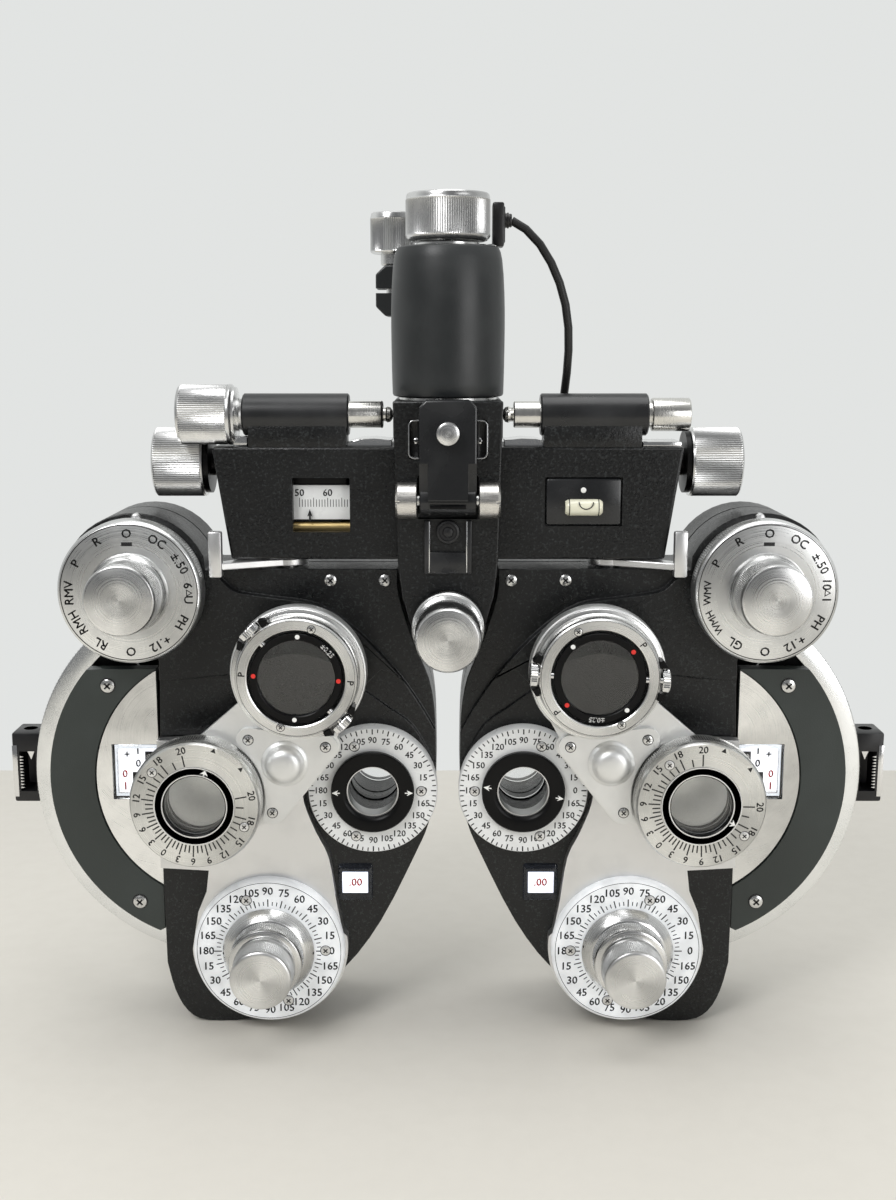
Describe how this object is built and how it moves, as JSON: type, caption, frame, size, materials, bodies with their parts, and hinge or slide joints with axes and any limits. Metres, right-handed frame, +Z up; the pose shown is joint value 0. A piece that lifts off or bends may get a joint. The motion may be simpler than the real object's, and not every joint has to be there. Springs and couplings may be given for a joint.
{
  "type": "phoropter",
  "caption": "Manual refracting head: paired lens batteries with dials, swing-in cross cylinders and prisms, hung from a levelled bar on a clamping stem.",
  "frame": {"origin": "centre of the arm clamp's bore, behind the top of the stem", "axes": "+X to the operator's right, +Y along the arm bore and out of its mouth towards the patient, +Z up"},
  "size_m": [0.3288, 0.098, 0.3015],
  "materials": {
    "crinkle_black": "black crinkle enamel",
    "satin_black": "fine textured satin black enamel",
    "guard_green": "dark grey-green textured enamel",
    "turned_aluminium": "fine turned and knurled",
    "satin_aluminium": "bead blasted and clear anodised",
    "black_anodised": "black anodised",
    "polished_steel": "polished",
    "brushed_nickel": "brushed",
    "brass": "drawn, lightly tarnished",
    "dial_white": "white acrylic with engraved black scale",
    "clear_plastic": "clear moulded rim",
    "black_plastic": "moulded",
    "cable_rubber": "smooth black cable sheath",
    "rest_pad": "soft-touch moulding",
    "lens_glass": "coated optical glass",
    "window_glow": "backlit reading window"
  },
  "bodies": {
    "mount": {"clamp_block": "satin_black", "stem_sleeve": "satin_black"},
    "clamp_knob": {"clamp_knob": "turned_aluminium"},
    "rotation_knob": {"rotation_knob": "turned_aluminium"},
    "yoke": {"stem_spindle": "polished_steel", "cable_connector": "black_plastic", "lamp_cable": "cable_rubber", "yoke_plate": "crinkle_black"},
    "rod_holder": {"rod_holder": "satin_black"},
    "rod_clamp_screw": {"rod_clamp_screw": "turned_aluminium"},
    "forehead_knob": {"forehead_knob": "turned_aluminium"},
    "forehead_rest": {"forehead_rest": "rest_pad"},
    "bar": {"bar_housing": "crinkle_black", "guide_rod": "brass", "spirit_level": "satin_black"},
    "level_knob": {"level_knob": "turned_aluminium"},
    "level_rod": {"level_rod": "brushed_nickel"},
    "spring_plunger": {"spring_plunger": "brushed_nickel"},
    "pd_screw": {"pd_screw": "turned_aluminium"},
    "left_slider": {"left_carriage": "satin_aluminium", "pd_scale": "dial_white"},
    "left_lever": {"left_vergence_lever": "satin_aluminium"},
    "left_battery": {"left_case_front": "crinkle_black", "left_case_back": "crinkle_black", "left_side_cover": "guard_green", "left_sphere_bezel": "satin_aluminium", "left_cylinder_cover": "satin_aluminium", "left_axis_dial": "dial_white", "left_axis_scale": "dial_white", "left_cornea_gauge": "satin_black"},
    "left_aux_dial": {"left_aux_dial": "turned_aluminium"},
    "left_strong_knob": {"left_strong_knob": "turned_aluminium"},
    "left_weak_dial": {"left_weak_dial": "clear_plastic"},
    "left_axis_ring": {"left_axis_ring": "black_anodised"},
    "left_axis_knob": {"left_axis_knob": "turned_aluminium"},
    "left_power_knob": {"left_power_knob": "turned_aluminium"},
    "left_turret_arm": {"left_turret_arm": "satin_aluminium"},
    "left_jcc_ring": {"left_jcc_ring": "polished_steel"},
    "left_jcc_cell": {"left_jcc_cell": "black_anodised"},
    "left_prism_ring": {"left_prism_ring": "turned_aluminium"},
    "right_slider": {"right_carriage": "satin_aluminium"},
    "right_lever": {"right_vergence_lever": "satin_aluminium"},
    "right_battery": {"right_case_front": "crinkle_black", "right_case_back": "crinkle_black", "right_side_cover": "guard_green", "right_sphere_bezel": "satin_aluminium", "right_cylinder_cover": "satin_aluminium", "right_axis_dial": "dial_white", "right_axis_scale": "dial_white", "right_cornea_gauge": "satin_black"},
    "right_aux_dial": {"right_aux_dial": "turned_aluminium"},
    "right_strong_knob": {"right_strong_knob": "turned_aluminium"},
    "right_weak_dial": {"right_weak_dial": "clear_plastic"},
    "right_axis_ring": {"right_axis_ring": "black_anodised"},
    "right_axis_knob": {"right_axis_knob": "turned_aluminium"},
    "right_power_knob": {"right_power_knob": "turned_aluminium"},
    "right_turret_arm": {"right_turret_arm": "satin_aluminium"},
    "right_jcc_ring": {"right_jcc_ring": "polished_steel"},
    "right_jcc_cell": {"right_jcc_cell": "black_anodised"},
    "right_prism_ring": {"right_prism_ring": "turned_aluminium"}
  },
  "joints": [
    {"name": "clamp_knob_turn", "type": "hinge", "parent": "mount", "child": "clamp_knob", "pos_m": [-0.0205, -0.004, 0], "axis": [0, 0, 1], "range_deg": [-180, 180]},
    {"name": "head_rotation", "type": "hinge", "parent": "mount", "child": "yoke", "pos_m": [0, -0.037, 0], "axis": [0, 0, 1], "range_deg": [-50, 50]},
    {"name": "rotation_knob_turn", "type": "hinge", "parent": "yoke", "child": "rotation_knob", "pos_m": [0, -0.037, 0.024], "axis": [0, 0, 1], "range_deg": [-180, 180]},
    {"name": "rod_holder_flip", "type": "hinge", "parent": "yoke", "child": "rod_holder", "pos_m": [0, -0.059, -0.0722], "axis": [1, 0, 0], "range_deg": [0, 90]},
    {"name": "rod_clamp_turn", "type": "hinge", "parent": "rod_holder", "child": "rod_clamp_screw", "pos_m": [0, -0.066, -0.0488], "axis": [0, 1, 0], "range_deg": [-180, 180]},
    {"name": "forehead_knob_turn", "type": "hinge", "parent": "yoke", "child": "forehead_knob", "pos_m": [0, -0.07, -0.1166], "axis": [0, 1, 0], "range_deg": [-1, 901]},
    {"name": "forehead_slide", "type": "slide", "parent": "yoke", "child": "forehead_rest", "axis": [0, 1, 0], "range_m": [0, 0.01]},
    {"name": "level_tilt", "type": "hinge", "parent": "yoke", "child": "bar", "pos_m": [0, -0.037, -0.075], "axis": [0, 1, 0], "range_deg": [-2.5, 2.5]},
    {"name": "level_knob_turn", "type": "hinge", "parent": "bar", "child": "level_knob", "pos_m": [-0.085, -0.041, -0.0437], "axis": [1, 0, 0], "range_deg": [-495, 495]},
    {"name": "level_rod_slide", "type": "slide", "parent": "bar", "child": "level_rod", "axis": [1, 0, 0], "range_m": [-0.0014, 0.0014]},
    {"name": "plunger_slide", "type": "slide", "parent": "bar", "child": "spring_plunger", "axis": [1, 0, 0], "range_m": [-0.0014, 0.0014]},
    {"name": "pd_turn", "type": "hinge", "parent": "bar", "child": "pd_screw", "pos_m": [0, -0.0256, -0.0616], "axis": [1, 0, 0], "range_deg": [-145, 757]},
    {"name": "left_pd_slide", "type": "slide", "parent": "bar", "child": "left_slider", "axis": [-1, 0, 0], "range_m": [-0.002, 0.0105]},
    {"name": "left_vergence", "type": "hinge", "parent": "left_slider", "child": "left_battery", "pos_m": [-0.058, -0.037, -0.101], "axis": [0, 0, 1], "range_deg": [0, 3.5]},
    {"name": "left_lever_turn", "type": "hinge", "parent": "left_slider", "child": "left_lever", "pos_m": [-0.058, -0.037, -0.096], "axis": [0, 0, 1], "range_deg": [0, 12.01]},
    {"name": "left_aux_turn", "type": "hinge", "parent": "left_battery", "child": "left_aux_dial", "pos_m": [-0.1105, -0.056, -0.104], "axis": [0, 1, 0], "continuous": true},
    {"name": "left_strong_turn", "type": "hinge", "parent": "left_battery", "child": "left_strong_knob", "pos_m": [-0.1105, -0.07, -0.104], "axis": [0, 1, 0], "continuous": true},
    {"name": "left_weak_turn", "type": "hinge", "parent": "left_battery", "child": "left_weak_dial", "pos_m": [-0.081, -0.037, -0.176], "axis": [0, 1, 0], "continuous": true},
    {"name": "left_axis_turn", "type": "hinge", "parent": "left_battery", "child": "left_axis_knob", "pos_m": [-0.0654, -0.062, -0.2374], "axis": [0, 1, 0], "continuous": true},
    {"name": "left_axis_ring_turn", "type": "hinge", "parent": "left_battery", "child": "left_axis_ring", "pos_m": [-0.027, -0.055, -0.177], "axis": [0, 1, 0], "continuous": true},
    {"name": "left_power_turn", "type": "hinge", "parent": "left_battery", "child": "left_power_knob", "pos_m": [-0.0654, -0.078, -0.2374], "axis": [0, 1, 0], "continuous": true},
    {"name": "left_turret_swing", "type": "hinge", "parent": "left_battery", "child": "left_turret_arm", "pos_m": [-0.057, -0.066, -0.1633], "axis": [0, 1, 0], "range_deg": [-132, 104]},
    {"name": "left_jcc_turn", "type": "hinge", "parent": "left_turret_arm", "child": "left_jcc_ring", "pos_m": [-0.05155, -0.07, -0.13075], "axis": [0, 1, 0], "continuous": true},
    {"name": "left_jcc_flip", "type": "hinge", "parent": "left_jcc_ring", "child": "left_jcc_cell", "pos_m": [-0.05155, -0.076, -0.13075], "axis": [-0.6947, 0, 0.7193], "range_deg": [0, 180]},
    {"name": "left_prism_turn", "type": "hinge", "parent": "left_turret_arm", "child": "left_prism_ring", "pos_m": [-0.08747, -0.072, -0.17598], "axis": [0, 1, 0], "continuous": true},
    {"name": "right_pd_slide", "type": "slide", "parent": "bar", "child": "right_slider", "axis": [1, 0, 0], "range_m": [-0.00201, 0.01051]},
    {"name": "right_vergence", "type": "hinge", "parent": "right_slider", "child": "right_battery", "pos_m": [0.058, -0.037, -0.101], "axis": [0, 0, -1], "range_deg": [0, 3.5]},
    {"name": "right_lever_turn", "type": "hinge", "parent": "right_slider", "child": "right_lever", "pos_m": [0.058, -0.037, -0.096], "axis": [0, 0, -1], "range_deg": [0, 12.01]},
    {"name": "right_aux_turn", "type": "hinge", "parent": "right_battery", "child": "right_aux_dial", "pos_m": [0.1105, -0.056, -0.104], "axis": [0, 1, 0], "continuous": true},
    {"name": "right_strong_turn", "type": "hinge", "parent": "right_battery", "child": "right_strong_knob", "pos_m": [0.1105, -0.07, -0.104], "axis": [0, 1, 0], "continuous": true},
    {"name": "right_weak_turn", "type": "hinge", "parent": "right_battery", "child": "right_weak_dial", "pos_m": [0.081, -0.037, -0.176], "axis": [0, 1, 0], "continuous": true},
    {"name": "right_axis_turn", "type": "hinge", "parent": "right_battery", "child": "right_axis_knob", "pos_m": [0.0654, -0.062, -0.2374], "axis": [0, 1, 0], "continuous": true},
    {"name": "right_axis_ring_turn", "type": "hinge", "parent": "right_battery", "child": "right_axis_ring", "pos_m": [0.027, -0.055, -0.177], "axis": [0, 1, 0], "continuous": true},
    {"name": "right_power_turn", "type": "hinge", "parent": "right_battery", "child": "right_power_knob", "pos_m": [0.0654, -0.078, -0.2374], "axis": [0, 1, 0], "continuous": true},
    {"name": "right_turret_swing", "type": "hinge", "parent": "right_battery", "child": "right_turret_arm", "pos_m": [0.057, -0.066, -0.1633], "axis": [0, 1, 0], "range_deg": [-104, 132]},
    {"name": "right_jcc_turn", "type": "hinge", "parent": "right_turret_arm", "child": "right_jcc_ring", "pos_m": [0.05155, -0.07, -0.13075], "axis": [0, 1, 0], "continuous": true},
    {"name": "right_jcc_flip", "type": "hinge", "parent": "right_jcc_ring", "child": "right_jcc_cell", "pos_m": [0.05155, -0.076, -0.13075], "axis": [-0.9989, 0, 0.0471], "range_deg": [0, 180]},
    {"name": "right_prism_turn", "type": "hinge", "parent": "right_turret_arm", "child": "right_prism_ring", "pos_m": [0.08747, -0.072, -0.17598], "axis": [0, 1, 0], "continuous": true}
  ],
  "couplings": [
    {"joint": "forehead_knob_turn", "follows": "forehead_slide", "rad_per_m": 1570.8},
    {"joint": "level_knob_turn", "follows": "level_tilt", "ratio": 196.66},
    {"joint": "level_rod_slide", "follows": "level_tilt", "m_per_rad": -0.0313},
    {"joint": "plunger_slide", "follows": "level_tilt", "m_per_rad": -0.0313},
    {"joint": "pd_turn", "follows": "left_pd_slide", "rad_per_m": 1256.6},
    {"joint": "right_pd_slide", "follows": "left_pd_slide", "ratio": 1},
    {"joint": "left_lever_turn", "follows": "left_vergence", "ratio": 3.4286},
    {"joint": "left_axis_ring_turn", "follows": "left_axis_turn", "ratio": 1},
    {"joint": "right_lever_turn", "follows": "right_vergence", "ratio": 3.4286},
    {"joint": "right_axis_ring_turn", "follows": "right_axis_turn", "ratio": 1}
  ]
}
